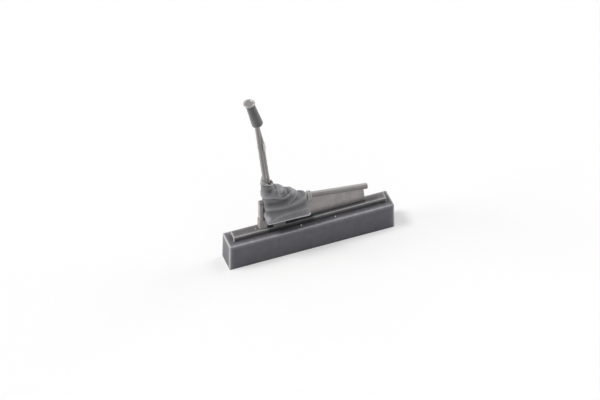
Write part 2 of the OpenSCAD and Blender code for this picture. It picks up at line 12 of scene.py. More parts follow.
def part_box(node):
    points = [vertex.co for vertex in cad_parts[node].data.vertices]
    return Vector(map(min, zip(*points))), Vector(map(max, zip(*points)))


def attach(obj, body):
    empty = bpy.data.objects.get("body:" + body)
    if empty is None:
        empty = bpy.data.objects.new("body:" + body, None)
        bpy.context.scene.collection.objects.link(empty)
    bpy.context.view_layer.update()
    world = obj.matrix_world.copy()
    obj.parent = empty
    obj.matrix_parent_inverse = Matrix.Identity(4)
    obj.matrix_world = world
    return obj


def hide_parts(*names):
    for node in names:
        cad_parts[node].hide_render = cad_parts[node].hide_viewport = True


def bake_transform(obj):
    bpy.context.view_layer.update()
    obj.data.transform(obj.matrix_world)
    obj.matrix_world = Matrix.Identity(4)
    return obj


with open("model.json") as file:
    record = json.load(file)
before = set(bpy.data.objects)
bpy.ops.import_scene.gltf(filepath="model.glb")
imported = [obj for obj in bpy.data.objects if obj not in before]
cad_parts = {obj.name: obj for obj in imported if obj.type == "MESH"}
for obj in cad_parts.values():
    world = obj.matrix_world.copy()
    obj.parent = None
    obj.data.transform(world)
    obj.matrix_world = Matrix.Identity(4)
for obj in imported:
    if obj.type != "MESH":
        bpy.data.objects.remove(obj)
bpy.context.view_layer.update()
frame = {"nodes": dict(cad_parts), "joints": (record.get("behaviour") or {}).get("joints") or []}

MM = 0.001
scene = bpy.context.scene
nodes = frame["nodes"]
joints = {joint["name"]: joint for joint in frame["joints"]}

# Places that the frame gives: the pivot, and the tube's axis
PIVOT = Vector(joints["stick_pitch"]["pos_m"])
TUBE_AXIS = Vector(joints["tube_roll"]["axis"]).normalized()
TUBE_SLOPE = -TUBE_AXIS.z / TUBE_AXIS.x
ACROSS = Vector((0, 1, 0))

# Sizes of the block and of the rail on it: half their length, half their width, and their top
BLOCK_TOP = 3.92
RAIL_TOP = 4.7
BLOCK_BOX = (11.07, 1.38, BLOCK_TOP)
RAIL_BOX = (10.22, 0.63, RAIL_TOP)
# Ends of the painted shadow on the rail below the boot, and the heights over which the painted shade at the
# web's foot fades out
BOOT_SHADOW_SPAN = (-5.4, 0.2)
WEB_SHADE_SPAN = (4.8, 5.7)

# Sizes of the tube, its plug and its rings
TUBE_D = 0.76
TUBE_BORE = 0.36
TUBE_START = 0.55
# How far the tube's end, on its axis, lies inside its box, and how deep the bore is seen
TUBE_END_SHIFT = 0.05
BORE_L = 0.1
TUBE_ROUND = 0.05
PLUG_INSET = 0.05
PLUG_L = 0.6
PLUG_ROUND = 0.02
RING_X = -0.27
RING_D = 1.16
RING_W = 0.21
RING_GAP = 0.05
RING_ROUND = 0.09
# How far the rings reach into the tube's surface
RING_SINK = 0.01

# Sizes of the stick and its grip; places along the stick are measured from the pivot
STICK_LEAN = 6
SHAFT_START = 0.75
SHAFT_FOOT_D = 0.58
SHAFT_TOP_D = 0.5
# How far the shaft reaches into the grip
SHAFT_SOCKET = 0.7
GRIP_LEAN = 9.2
GRIP_SHIFT = 0.17
GRIP_START = 13.4
GRIP_L = 3.7
GRIP_LOW_D = 1.44
GRIP_TOP_D = 1.1
GRIP_ROUND = 0.26
# How far the grip runs on past the cap's foot, which trims it, and how far it then reaches into the cap
GRIP_SPARE = 0.2
GRIP_INTO_CAP = 0.02
CAP_D = 1.46
CAP_H = 0.27
CAP_FOOT_H = 0.15
CAP_RIM = 0.11
CAP_DISH = 0.1
CAP_ROUND = 0.05
CAP_TILT = 11
CAP_SHIFT = 0.08

# Sizes of the lead and its connector; the lead turns round the shaft on its way up to the grip
LEAD_D = 0.32
LEAD_GAP = 0.02
LEAD_END = 1.6
# Degrees that the lead has turned where it enters the grip, and how far it goes in
LEAD_TURN = 50
LEAD_INTO_GRIP = 0.125
# Straight stretches above the connector and below the grip
LEAD_STRAIGHT = 0.05
LEAD_TAIL = 0.2
# How far the lead stands off the shaft above the cuff, where, and over what length
LEAD_BOW = 0.03
BOW_S = 3.8
BOW_SPREAD = 0.5
CONNECTOR_S = 9.25
CONNECTOR_L = 0.85
CONNECTOR_D = 0.42
CONNECTOR_ROUND = 0.04
CONNECTOR_TOP = CONNECTOR_S + CONNECTOR_L
FLANGE_D = 0.52
FLANGE_L = 0.3
NUT_D = 0.48
NUT_L = 0.5
NUT_ROUND = 0.05
NUT_S = CONNECTOR_S - NUT_L
BAND_T = 0.03

# Sizes of the boot and of the room in it for the tube, the journal and the web
BOOT_WALL = 0.1
BOOT_GAP = 0.03
# Where the tube leaves the boot along the block, and how far inside its hole starts
SLEEVE_X = -0.56
SLEEVE_L = 1
# Where the journal's hole starts along the block, and where it ends along the tube from the pivot
JOURNAL_D = 0.26
JOURNAL_HOLE_X = -6.4
JOURNAL_HOLE_END = -0.42
# Slit over the web: the height of its foot, half its length, and its room beside the web and for the roll
WEB_T = 0.44
SLIT_FOOT = 6
SLIT_REACH = 0.6
SWING_GAP = 0.05
ROLL_ROOM = 14

# Sizes of the cuff at the boot's neck
CUFF_L = 1.66
CUFF_W = 1.1
CUFF_ROLL = 0.3
CUFF_S = 3.12
CUFF_SHIFT = 0.25
CUFF_SLANT = 21
# How far the cuff leans in for each millimetre that it rises
CUFF_LEAN = 0.22


def moved(x, z):
    """Shift in the plane of the stick and the tube."""
    return Matrix.Translation((x * MM, 0, z * MM))


def tilted(degrees):
    """Turn in the plane of the stick and the tube, to the right."""
    return Matrix.Rotation(math.radians(degrees), 4, "Y")


TUBE_TURN = Matrix((ACROSS.cross(TUBE_AXIS), ACROSS, TUBE_AXIS)).transposed()
TUBE_FRAME = Matrix.Translation(PIVOT) @ TUBE_TURN.to_4x4()
STICK_FRAME = Matrix.Translation(PIVOT) @ tilted(-STICK_LEAN)
GRIP_FRAME = STICK_FRAME @ moved(GRIP_SHIFT, GRIP_START) @ tilted(-GRIP_LEAN)
CAP_FRAME = GRIP_FRAME @ moved(-CAP_SHIFT, GRIP_L) @ tilted(CAP_TILT)
CUFF_FRAME = STICK_FRAME @ moved(CUFF_SHIFT, CUFF_S) @ tilted(CUFF_SLANT)


# Shader nodes

# How far beyond its ends a painted shadow fades
SHADOW_FADE = 0.5


def link(tree, start, end):
    tree.links.new(start, end)


def add(tree, kind, **values):
    """Node with the given input values; an underscore stands for a space in an input's name."""
    made = tree.nodes.new(kind)
    for key, value in values.items():
        made.inputs[key.replace("_", " ")].default_value = value
    return made


def ramp(tree, source, stops):
    """Grey ramp over a value; stops are (position, grey)."""
    made = tree.nodes.new("ShaderNodeValToRGB")
    link(tree, source, made.inputs["Fac"])
    elements = made.color_ramp.elements
    for element, (position, grey) in zip(elements, (stops[0], stops[-1])):
        element.position = position
        element.color = (grey, grey, grey, 1)
    for position, grey in stops[1:-1]:
        middle = elements.new(position)
        middle.color = (grey, grey, grey, 1)
    return made.outputs["Color"]


def calculate(tree, operation, first, second=0):
    """Result of a calculation with two values or outputs of nodes."""
    made = tree.nodes.new("ShaderNodeMath")
    made.operation = operation
    for socket, value in zip(made.inputs, (first, second)):
        if isinstance(value, bpy.types.NodeSocket):
            link(tree, value, socket)
        else:
            socket.default_value = value
    return made.outputs[0]


def multiply(tree, first, second):
    """Product of two colours."""
    made = add(tree, "ShaderNodeMix", Factor=1)
    made.data_type = "RGBA"
    made.blend_type = "MULTIPLY"
    link(tree, first, made.inputs["A"])
    link(tree, second, made.inputs["B"])
    return made.outputs["Result"]


def coordinate(tree, place, axis):
    """One coordinate of a place."""
    parts = tree.nodes.new("ShaderNodeSeparateXYZ")
    link(tree, place, parts.inputs[0])
    return parts.outputs[axis]


def from_middle(tree, place, axis):
    """How far a place lies from the middle plane across an axis."""
    return calculate(tree, "ABSOLUTE", coordinate(tree, place, axis))


def painted_edge_highlight(tree, place, half_l, half_w, top, reach, gain):
    """Painted highlight along the edges of a block: one on its faces, more towards its edges. The middle one
    of the distances from its sides is the distance from the nearest edge."""
    x = calculate(tree, "SUBTRACT", half_l, from_middle(tree, place, "X"))
    y = calculate(tree, "SUBTRACT", half_w, from_middle(tree, place, "Y"))
    z = calculate(tree, "SUBTRACT", top, coordinate(tree, place, "Z"))
    low = calculate(tree, "MINIMUM", x, y)
    high = calculate(tree, "MAXIMUM", x, y)
    middle = calculate(tree, "MAXIMUM", low, calculate(tree, "MINIMUM", high, z))
    inside = calculate(tree, "MAXIMUM", middle, 0)
    fade = calculate(tree, "EXPONENT", calculate(tree, "MULTIPLY", inside, -1 / reach))
    level = calculate(tree, "ADD", calculate(tree, "MULTIPLY", fade, gain), 1)
    grey = tree.nodes.new("ShaderNodeCombineColor")
    for channel in grey.inputs:
        link(tree, level, channel)
    return grey.outputs["Color"]


def painted_foot_shade(tree, place, dark, low, high):
    """Painted shade: dark at the lower height, and one from the upper height on."""
    height = add(tree, "ShaderNodeMapRange", From_Min=low, From_Max=high)
    link(tree, coordinate(tree, place, "Z"), height.inputs["Value"])
    return ramp(tree, height.outputs["Result"], ((0, dark), (1, 1)))


def painted_shadow_stretch(tree, place, start, end, dark):
    """Painted shadow: dark between two places along the block, and fading to one beyond them."""
    apart = calculate(tree, "SUBTRACT", coordinate(tree, place, "X"), (start + end) / 2)
    outside = calculate(tree, "SUBTRACT", calculate(tree, "ABSOLUTE", apart), (end - start) / 2)
    return ramp(tree, outside, ((0, dark), (SHADOW_FADE, 1)))


# Materials

# Patterns of the resin: how often they repeat in a millimetre, and how fine they get
CLOUDS = (0.9, 3)
GRAINS = (6.5, 4)
SHEEN_PATCHES = (4, 3)
PITS_PER_MM = 2.2
# Size of a pit's floor and of its rim, as shares of the spacing of the pits
PIT_FLOOR = 0.05
PIT_RIM = 0.1
# Range that holds most of a pattern's values
NOISE_LOW = 0.3
NOISE_HIGH = 0.7
# How strong and how deep the grain and the pits stand out
RELIEF = 0.35
RELIEF_DEPTH = 0.02
DUST_ROUGHNESS = 0.4
# Value of the painted shading attribute where nothing is painted; painted shade takes it down to 0, and
# painted highlight up to 1
PLAIN = 0.5


def resin(name, colour, roughness=(0.46, 0.6), grain=0.09, mottle=0.08, gloss=0.25, dust=0,
          painted_shading=None, foot=None, edges=None, painted_shadow=None):
    """Grey casting resin: cloudy mottling, fine grain, small pits, and an uneven sheen.

    dust is how much fine dust pales it where it is seen at a low angle.
    crest, for pieces with that attribute, gives the painted shade at its value 0 and the painted highlight at
    its value 1; pieces without the attribute read 0.
    foot gives the painted shade at the lower edge of a piece, and the heights over which it fades out.
    edges gives half the length, half the width and the top of a block, how far the painted highlight along
    its edges reaches, and how bright it is.
    under gives the two ends of a painted shadow along the block, and its shade."""
    material = bpy.data.materials.new(name)
    material.use_nodes = True
    tree = material.node_tree
    shader = tree.nodes["Principled BSDF"]
    in_mm = tree.nodes.new("ShaderNodeVectorMath")
    in_mm.operation = "SCALE"
    in_mm.inputs["Scale"].default_value = 1 / MM
    link(tree, tree.nodes.new("ShaderNodeTexCoord").outputs["Object"], in_mm.inputs[0])
    place = in_mm.outputs["Vector"]

    def noise(scale, detail):
        made = add(tree, "ShaderNodeTexNoise", Scale=scale, Detail=detail)
        link(tree, place, made.inputs["Vector"])
        return made.outputs["Fac"]

    def spread(pattern, low, high):
        return ramp(tree, pattern, ((NOISE_LOW, low), (NOISE_HIGH, high)))

    grains = noise(*GRAINS)
    base = tree.nodes.new("ShaderNodeRGB")
    base.outputs[0].default_value = (*colour, 1)
    shade = multiply(tree, base.outputs[0], spread(noise(*CLOUDS), 1 - mottle, 1 + mottle))
    shade = multiply(tree, shade, spread(grains, 1 - grain, 1 + grain))
    if painted_shading:
        shading_attribute = tree.nodes.new("ShaderNodeAttribute")
        shading_attribute.attribute_name = "painted_shading"
        valley, ridge = painted_shading
        shade = multiply(tree, shade, ramp(tree, shading_attribute.outputs["Fac"], ((0, valley), (PLAIN, 1), (1, ridge))))
    if foot:
        shade = multiply(tree, shade, painted_foot_shade(tree, place, *foot))
    if edges:
        shade = multiply(tree, shade, painted_edge_highlight(tree, place, *edges))
    if painted_shadow:
        shade = multiply(tree, shade, painted_shadow_stretch(tree, place, *painted_shadow))
    link(tree, shade, shader.inputs["Base Color"])
    link(tree, spread(noise(*SHEEN_PATCHES), *roughness), shader.inputs["Roughness"])
    shader.inputs["Specular IOR Level"].default_value = gloss
    shader.inputs["Sheen Weight"].default_value = dust
    shader.inputs["Sheen Roughness"].default_value = DUST_ROUGHNESS

    pits = add(tree, "ShaderNodeTexVoronoi", Scale=PITS_PER_MM)
    link(tree, place, pits.inputs["Vector"])
    pit_depth = ramp(tree, pits.outputs["Distance"], ((PIT_FLOOR, 0), (PIT_RIM, 1)))
    relief = multiply(tree, ramp(tree, grains, ((0, 0), (1, 1))), pit_depth)
    bump = add(tree, "ShaderNodeBump", Strength=RELIEF, Distance=RELIEF_DEPTH * MM)
    link(tree, relief, bump.inputs["Height"])
    link(tree, bump.outputs["Normal"], shader.inputs["Normal"])
    return material


# Roughness of rounded edges and of the cap, and of small bright pieces
EDGE_SHEEN = (0.34, 0.44)
BRIGHT_SHEEN = (0.3, 0.4)

# The block is painted darker towards its foot, with a painted highlight along its edges; the rail is painted
# darker down its side, with a painted highlight along its edges and a painted shadow below the boot
BLOCK_RESIN = resin(
    "block_resin", (0.112, 0.111, 0.121), grain=0.18, foot=(0.8, 0, 2.5), edges=(*BLOCK_BOX, 0.17, 3.2),
)
RAIL_RESIN = resin(
    "rail_resin", (0.13, 0.128, 0.129), foot=(0.18, BLOCK_TOP, 4.6), edges=(*RAIL_BOX, 0.12, 2.4),
    painted_shadow=(*BOOT_SHADOW_SPAN, 0.4),
)
GATE_RESIN = resin("gate_resin", (0.12, 0.118, 0.12))
# Edge resins, here and below, are paler than the resins of the faces beside them: they paint a highlight
# along the rounded edges. The rail's edge resin also takes the painted shadow below the boot
RAIL_EDGE_HIGHLIGHT_RESIN = resin(
    "rail_edge_highlight_resin", (0.4, 0.39, 0.376), roughness=EDGE_SHEEN, gloss=0.5, painted_shadow=(*BOOT_SHADOW_SPAN, 0.25),
)
BLOCK_EDGE_HIGHLIGHT_RESIN = resin("block_edge_highlight_resin", (0.37, 0.36, 0.347), roughness=EDGE_SHEEN, gloss=0.5)
# The web's and the post's resins are paler than the block's: painted light for the light that shines through
# these thin parts. The web is also painted darker towards its foot
WEB_RESIN = resin("web_resin", (0.36, 0.335, 0.324), grain=0.15, foot=(0.25, *WEB_SHADE_SPAN))
WEB_EDGE_HIGHLIGHT_RESIN = resin("web_edge_highlight_resin", (0.6, 0.57, 0.55), roughness=EDGE_SHEEN, foot=(0.3, *WEB_SHADE_SPAN))
POST_RESIN = resin("post_resin", (0.27, 0.255, 0.243))
POST_EDGE_HIGHLIGHT_RESIN = resin("post_edge_highlight_resin", (0.36, 0.342, 0.328), roughness=EDGE_SHEEN)
# The tube's resin is painted lighter along its top and darker on its sides, through its shading attribute
TUBE_RESIN = resin(
    "tube_resin", (0.235, 0.227, 0.22), roughness=(0.36, 0.5), gloss=0.5, dust=0.3, painted_shading=(0.5, 1.7),
)
# Paler than the tube's resin, which paints the light on the rings' rounded edges
RING_RESIN = resin("ring_resin", (0.4, 0.385, 0.372), roughness=(0.3, 0.42), gloss=0.5, dust=0.3)
# The boot's resin follows the painted shading that make_boot writes: highlight on ridges and the hem's lower
# edge, shade in hollows
BOOT_RESIN = resin("boot_resin", (0.158, 0.156, 0.162), gloss=0.4, dust=0.2, painted_shading=(0.4, 2.6))
# The cuff's resin is paler than the boot's: painted light on the cuff, which also takes the painted shading
# of its sections
CUFF_RESIN = resin(
    "cuff_resin", (0.24, 0.233, 0.226), gloss=0.4, dust=0.3, grain=0.6, mottle=0.25, painted_shading=(0.5, 2.2),
)
# The stick's, the lead's and the connector's resins follow the painted shading across them. The lead's resin
# is also paler than the stick's: painted light on the lead where the shaft shades it
STICK_RESIN = resin("stick_resin", (0.185, 0.175, 0.166), gloss=0.5, dust=0.8, painted_shading=(1, 1.35))
LEAD_RESIN = resin("lead_resin", (0.28, 0.266, 0.255), gloss=0.5, dust=0.1, painted_shading=(0.95, 1.5))
PLUG_RESIN = resin(
    "plug_resin", (0.56, 0.54, 0.52), roughness=BRIGHT_SHEEN, grain=0.3, gloss=0.5, painted_shading=(0.2, 1.2),
)
# Near-white resin: painted glints on the pips and on the cap's screws
PIP_GLINT_RESIN = resin("pip_glint_resin", (0.82, 0.81, 0.79), roughness=BRIGHT_SHEEN, gloss=0.5)
GRIP_RESIN = resin("grip_resin", (0.066, 0.064, 0.066), grain=0.15, gloss=0.5, dust=0.8)
CAP_RESIN = resin("cap_resin", (0.22, 0.21, 0.195), roughness=EDGE_SHEEN, gloss=0.5)
# Paler rim resin: a painted highlight on the cap's rounded rim
CAP_RIM_HIGHLIGHT_RESIN = resin("cap_rim_highlight_resin", (0.37, 0.36, 0.34), roughness=(0.28, 0.38), gloss=0.5, mottle=0.25)


# Helpers for pieces

# Angle in radians from which an edge of a turned piece is sharp
SHARP_ANGLE = 0.6
ROUND_STEPS = 4
PATH_STEPS = 6
# How close points of a fixed piece are joined, and the angle in degrees from which it has an edge
WELD_GAP = 0.001
EDGE_ANGLE = 30
# Steps of a rounded edge, and the number of its resin among those of the piece
EDGE_STEPS = 4
EDGE_SLOT = 1


def finish_piece(piece, body, slot, *stands_for):
    """Ties a piece to its body and hides the nodes that it stands for; slot is not used."""
    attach(piece, body)
    if stands_for:
        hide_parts(*stands_for)


def dress(node, *materials):
    """Gives a CAD piece its resins."""
    slots = nodes[node].data.materials
    slots.clear()
    for material in materials:
        slots.append(material)


def soften(node, width, face, edge):
    """Rounds the edges of a fixed CAD piece and gives the rounded edges their own resin, which for most
    pieces is paler and paints a highlight along them.
    """
    dress(node, face, edge)
    weld = nodes[node].modifiers.new("weld", "WELD")
    weld.merge_threshold = WELD_GAP * MM
    bevel = nodes[node].modifiers.new("round_edges", "BEVEL")
    bevel.width = width * MM
    bevel.segments = EDGE_STEPS
    bevel.limit_method = "ANGLE"
    bevel.angle_limit = math.radians(EDGE_ANGLE)
    bevel.material = EDGE_SLOT
    bevel.harden_normals = True


def new_piece(name, points, faces, material):
    """Smooth mesh of points in metres."""
    mesh = bpy.data.meshes.new(name)
    mesh.from_pydata([tuple(p) for p in points], [], faces)
    mesh.validate()
    mesh.shade_smooth()
    mesh.materials.append(material)
    piece = bpy.data.objects.new(name, mesh)
    scene.collection.objects.link(piece)
    return piece


def loft_faces(rows, columns, closed_rows=False):
    """Quads over a grid whose columns run round a ring."""
    last = rows if closed_rows else rows - 1
    faces = []
    for r in range(last):
        up = (r + 1) % rows
        for c in range(columns):
            right = (c + 1) % columns
            faces.append((r * columns + c, r * columns + right, up * columns + right, up * columns + c))
    return faces


def lathe(name, place, profile, material, sides=64):
    """Turned piece; the profile's points are (radius, height). It closes on the axis where its first and
    last radius are zero, and else the profile itself is closed."""
    turns = [2 * math.pi * k / sides for k in range(sides)]
    closed = profile[0][0] > 0
    ring_profile = [p for p in profile if p[0] > 0]
    points = [
        place @ Vector((r * MM * math.cos(a), r * MM * math.sin(a), h * MM))
        for r, h in ring_profile
        for a in turns
    ]
    faces = loft_faces(len(ring_profile), sides, closed_rows=closed)
    if not closed:
        for end, row in ((profile[0], 0), (profile[-1], len(ring_profile) - 1)):
            points.append(place @ Vector((0, 0, end[1] * MM)))
            pole = len(points) - 1
            for c in range(sides):
                a = row * sides + c
                b = row * sides + (c + 1) % sides
                faces.append((pole, b, a) if row == 0 else (pole, a, b))
    piece = new_piece(name, points, faces, material)
    piece.data.set_sharp_from_angle(angle=SHARP_ANGLE)
    return piece


def rounded(corners, radius):
    """Profile with its inner corners rounded off."""
    made = [corners[0]]
    for before, corner, after in zip(corners, corners[1:], corners[2:]):
        a = Vector(before) - Vector(corner)
        b = Vector(after) - Vector(corner)
        reach = min(radius, a.length / 2, b.length / 2)
        start = Vector(corner) + a.normalized() * reach
        end = Vector(corner) + b.normalized() * reach
        for k in range(ROUND_STEPS + 1):
            t = k / ROUND_STEPS
            point = start * (1 - t) ** 2 + Vector(corner) * 2 * t * (1 - t) + end * t ** 2
            made.append((point.x, point.y))
    made.append(corners[-1])
    return made


def on_curve(points, steps):
    """Points, or whole rings of them, on smooth curves through the given ones."""
    keys = [points[0], *points, points[-1]]
    made = []
    for a, b, c, d in zip(keys, keys[1:], keys[2:], keys[3:]):
        for k in range(steps):
            t = k / steps
            made.append(
                b + (c - a) * (t / 2)
                + (a * 2 - b * 5 + c * 4 - d) * (t * t / 2)
                + (b * 3 - a - c * 3 + d) * (t ** 3 / 2)
            )
    made.append(points[-1])
    return made


def cable(name, place, points, diameter, material, sides=16):
    """Round lead through points of a frame."""
    line = [place @ (p * MM) for p in on_curve([Vector(p) for p in points], PATH_STEPS)]
    side = (place.to_3x3() @ ACROSS).normalized()
    rows = []
    for i, point in enumerate(line):
        ahead = (line[min(i + 1, len(line) - 1)] - line[max(i - 1, 0)]).normalized()
        u = side.cross(ahead).normalized()
        v = ahead.cross(u)
        rows.extend(
            point + (u * math.cos(a) + v * math.sin(a)) * (diameter / 2 * MM)
            for a in (2 * math.pi * k / sides for k in range(sides))
        )
    faces = loft_faces(len(line), sides)
    faces.append(tuple(reversed(range(sides))))
    faces.append(tuple(range((len(line) - 1) * sides, len(line) * sides)))
    return new_piece(name, rows, faces, material)


def near(angle, middle, spread):
    """Bump of height one round an angle, in degrees."""
    apart = (angle - middle + 180) % 360 - 180
    return math.exp(-(apart / spread) ** 2)


def lobes(angle, *bumps):
    """Sum of bumps at an angle; each has its height, middle and spread."""
    return sum(height * near(angle, middle, spread) for height, middle, spread in bumps)


def write_painted_shading(piece, shades):
    """Writes the attribute that holds a piece's painted shading, which its resin turns into painted shade
    below 0.5 and painted highlight above.
    """
    held = np.clip(shades, 0, 1).tolist()
    piece.data.attributes.new("painted_shading", "FLOAT", "POINT").data.foreach_set("value", held)


# Stage

# Share of plain white in the floor that the camera sees
FLOOR_WHITE = 0.36
FLOOR_GREY = (0.88, 0.88, 0.882, 1)
FLOOR_ROUGHNESS = 0.9
WHITE = (1, 1, 1, 1)
# Tint of the light from all round, and its strength on the object; the camera sees it as plain white
COOL = (0.97, 0.98, 1.06, 1)
ROUND_LIGHT = 0.4
# Tints of the lights from one side
WARM = (1, 0.97, 0.91)
CLEAR = (1, 1, 1)
# Lights from one side: name, where it comes from, strength, spread in degrees, and tint
LIGHTS = (
    ("high_left_light", (-0.62, 0.1, 1), 0.5 * math.pi, 18, WARM),
    ("high_right_light", (0.55, 0.1, 1), 0.16 * math.pi, 20, WARM),
    ("left_light", (-1, 0.2, 0.12), 0.85 * math.pi, 34, CLEAR),
    ("right_light", (1, 0.05, 0.2), 0.4 * math.pi, 34, CLEAR),
)
# Where the camera stands and how it rolls, in degrees, what it looks at, how far off, and its lens
CAMERA_AZIMUTH = math.radians(-20.54)
CAMERA_ELEVATION = math.radians(44.014)
CAMERA_ROLL = math.radians(-0.063)
CAMERA_AIM = (-1.176, 0, 7.593)
CAMERA_DISTANCE = 400
CAMERA_LENS = 192.83
CAMERA_SENSOR = 36


def seen_rays(tree):
    """One for rays from the camera and for what it sees in or through a surface, else zero."""
    rays = tree.nodes.new("ShaderNodeLightPath").outputs
    mirrored = calculate(tree, "MAXIMUM", rays["Is Glossy Ray"], rays["Is Transmission Ray"])
    return calculate(tree, "MAXIMUM", rays["Is Camera Ray"], mirrored)


def floor_material():
    """White floor that the camera sees paler than it lights the object, so that only deep shadows show."""
    material = bpy.data.materials.new("white_floor")
    material.use_nodes = True
    tree = material.node_tree
    shader = tree.nodes["Principled BSDF"]
    shader.inputs["Base Color"].default_value = FLOOR_GREY
    shader.inputs["Roughness"].default_value = FLOOR_ROUGHNESS
    shader.inputs["Specular IOR Level"].default_value = 0
    white = add(tree, "ShaderNodeEmission", Color=WHITE, Strength=1)
    share = calculate(tree, "MULTIPLY", seen_rays(tree), FLOOR_WHITE)
    mix = tree.nodes.new("ShaderNodeMixShader")
    link(tree, share, mix.inputs["Fac"])
    link(tree, shader.outputs["BSDF"], mix.inputs[1])
    link(tree, white.outputs["Emission"], mix.inputs[2])
    link(tree, mix.outputs["Shader"], tree.nodes["Material Output"].inputs["Surface"])
    return material


def make_stage():
    """White floor, far wider than the view."""
    corners = [(-1, -1, 0), (1, -1, 0), (1, 1, 0), (-1, 1, 0)]
    floor = new_piece("floor", corners, [(0, 1, 2, 3)], floor_material())


def sun(name, towards, strength, spread, colour):
    """Soft light that comes from a direction, spread over an angle in degrees."""
    data = bpy.data.lights.new(name, "SUN")
    data.color = colour
    data.energy = strength
    data.angle = math.radians(spread)
    lamp = bpy.data.objects.new(name, data)
    lamp.rotation_euler = Vector(towards).to_track_quat("Z", "Y").to_euler()
    scene.collection.objects.link(lamp)


def make_light():
    """Soft lights from above and from both sides, and pale light from all round."""
    for light in LIGHTS:
        sun(*light)
    world = bpy.data.worlds.new("studio")
    scene.world = world
    world.use_nodes = True
    tree = world.node_tree
    background = tree.nodes["Background"]
    seen = seen_rays(tree)
    level = add(tree, "ShaderNodeMapRange", To_Min=ROUND_LIGHT, To_Max=1)
    link(tree, seen, level.inputs["Value"])
    link(tree, level.outputs["Result"], background.inputs["Strength"])
    tint = tree.nodes.new("ShaderNodeMix")
    tint.data_type = "RGBA"
    tint.inputs["A"].default_value = COOL
    tint.inputs["B"].default_value = WHITE
    link(tree, seen, tint.inputs["Factor"])
    link(tree, tint.outputs["Result"], background.inputs["Color"])


def make_camera():
    """Long lens that looks down on the object from the front left."""
    back = Vector((
        math.sin(CAMERA_AZIMUTH) * math.cos(CAMERA_ELEVATION),
        -math.cos(CAMERA_AZIMUTH) * math.cos(CAMERA_ELEVATION),
        math.sin(CAMERA_ELEVATION),
    ))
    data = bpy.data.cameras.new("camera")
    data.sensor_width = CAMERA_SENSOR
    data.lens = CAMERA_LENS
    camera = bpy.data.objects.new("camera", data)
    turn = back.to_track_quat("Z", "Y") @ Matrix.Rotation(CAMERA_ROLL, 3, "Z").to_quaternion()
    place = Vector(CAMERA_AIM) * MM + back * (CAMERA_DISTANCE * MM)
    camera.matrix_world = Matrix.Translation(place) @ turn.to_matrix().to_4x4()
    scene.collection.objects.link(camera)
    scene.camera = camera


# Fixed pieces

# Each fixed piece, how far its edges are rounded, and the resins of its faces and of its edges; all edge
# resins but the gates' are paler and paint a highlight along the rounded edges
FIXED = (
    ("casting_block", 0.15, BLOCK_RESIN, BLOCK_EDGE_HIGHLIGHT_RESIN),
    ("pour_rail", 0.08, RAIL_RESIN, RAIL_EDGE_HIGHLIGHT_RESIN),
    ("hem_gates", 0.03, GATE_RESIN, GATE_RESIN),
    ("support_web", 0.05, WEB_RESIN, WEB_EDGE_HIGHLIGHT_RESIN),
    ("bearing_post", 0.05, POST_RESIN, POST_EDGE_HIGHLIGHT_RESIN),
    ("post_bush", 0.01, POST_RESIN, POST_EDGE_HIGHLIGHT_RESIN),
)
# Casting pips on the block's top and on the rail, left by the mould, in a near-white resin that paints glints
# on them:
# place as (x, y, z) and diameter
PIPS = ((-1.29, -0.76, BLOCK_TOP, 0.2), (3.28, -0.76, BLOCK_TOP, 0.2), (-7.14, -0.05, RAIL_TOP, 0.1))
# Height of a pip as a share of its radius, how deep it is rooted, and the steps of its dome
PIP_DOME = 0.7
PIP_ROOT = 0.02
PIP_STEPS = 8


def make_base():
    """Block, rail, gates, web and post with its bush, with rounded edges."""
    for node, width, face, edge in FIXED:
        soften(node, width, face, edge)


def make_pips():
    """Small domes on the block and the rail, painted near-white for their glints."""
    for number, (x, y, z, diameter) in enumerate(PIPS):
        r = diameter / 2
        height = PIP_DOME * r
        place = Matrix.Translation(Vector((x, y, z)) * MM)
        turns = np.linspace(0, math.pi / 2, PIP_STEPS)[:-1]
        dome = [(r * math.cos(a), height * math.sin(a)) for a in turns]
        profile = [(0, -PIP_ROOT), (r, -PIP_ROOT), *dome, (0, height)]
        pip = lathe(f"casting_pip_{number}", place, profile, PIP_GLINT_RESIN, sides=24)
        finish_piece(pip, "base", "block_resin")


# Tube and its rings

# Painted shade of the tube's sides; painted light along its top and a painted highlight line below it are
# bumps at an angle from its top
TUBE_SIDE_SHADE = 0.25
TUBE_TOP = (0.75, 0, 28)
TUBE_HIGHLIGHT_LINE = (0.3, 52, 7)


def tube_place(x):
    """Distance along the tube's axis from the pivot to a place along the block."""
    return (x - PIVOT.x / MM) / TUBE_AXIS.x


def paint_tube_light(tube):
    """Paints light along the tube's top, a thin painted highlight line below it, and painted shade on its
    sides.
    """
    to_tube = TUBE_FRAME.inverted()
    shades = []
    for vertex in tube.data.vertices:
        place = to_tube @ vertex.co
        turn = math.degrees(math.atan2(-place.y, -place.x))
        shades.append(TUBE_SIDE_SHADE + lobes(turn, TUBE_TOP, TUBE_HIGHLIGHT_LINE))
    write_painted_shading(tube, shades)


def make_ring(name, start):
    """One of the rings that clamp the boot on the tube."""
    inner = TUBE_D / 2 - RING_SINK
    outer = RING_D / 2
    end = start + RING_W
    corners = [(inner, start), (outer, start), (outer, end), (inner, end)]
    ring = lathe(f"boot_ring_{name}_round", TUBE_FRAME, rounded(corners, RING_ROUND), RING_RESIN)
    finish_piece(ring, "tube", "tube_resin", f"boot_ring_{name}")


